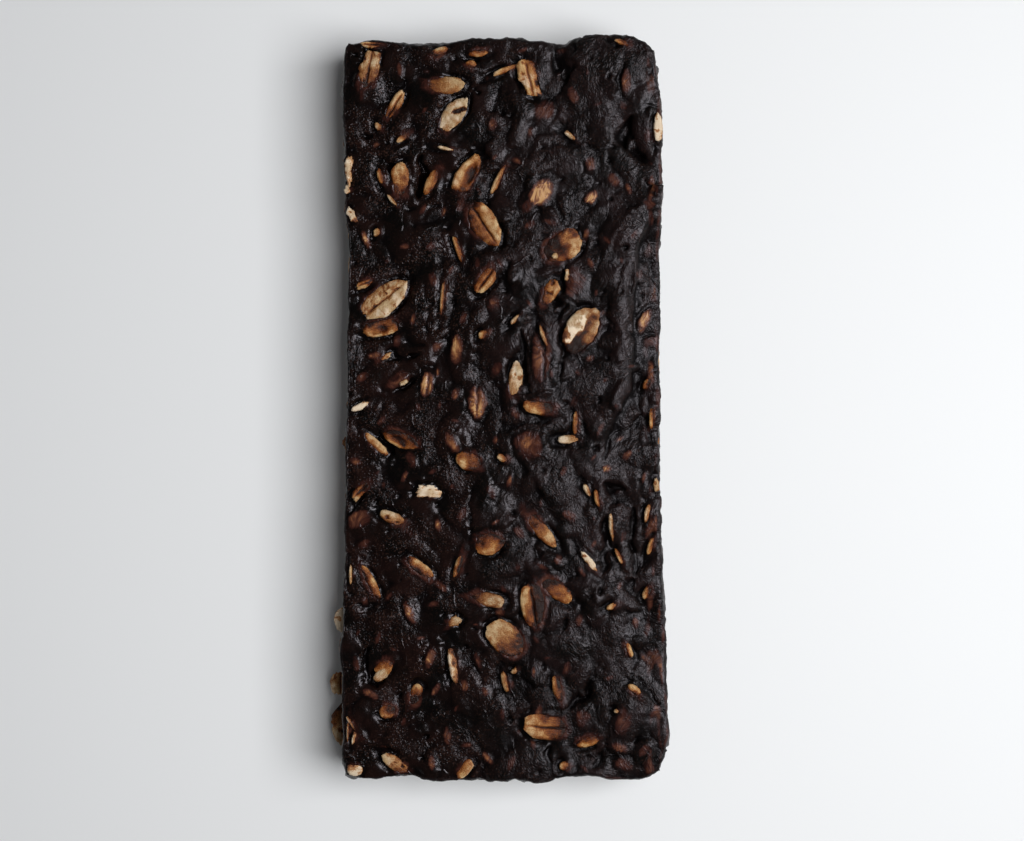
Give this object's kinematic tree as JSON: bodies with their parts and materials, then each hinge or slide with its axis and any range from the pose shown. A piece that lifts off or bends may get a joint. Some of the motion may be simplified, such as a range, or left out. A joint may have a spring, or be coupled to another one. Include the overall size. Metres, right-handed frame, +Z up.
{
  "type": "granola bar",
  "caption": "Dense pressed bar of dark paste and rolled oats, a lumpy rectangular block with cut sides and a flat base, lying flat.",
  "frame": {"origin": "centre of the footprint, on the flat base", "axes": "+Y along the bar's length, +X across its width towards the side with the low strip, +Z up out of the lumpy top"},
  "size_m": [0.056, 0.1272, 0.0164],
  "materials": {
    "oat_paste": "satin dark brown paste with pale rolled oats"
  },
  "bodies": {
    "root": {"bar": "oat_paste"}
  },
  "joints": []
}
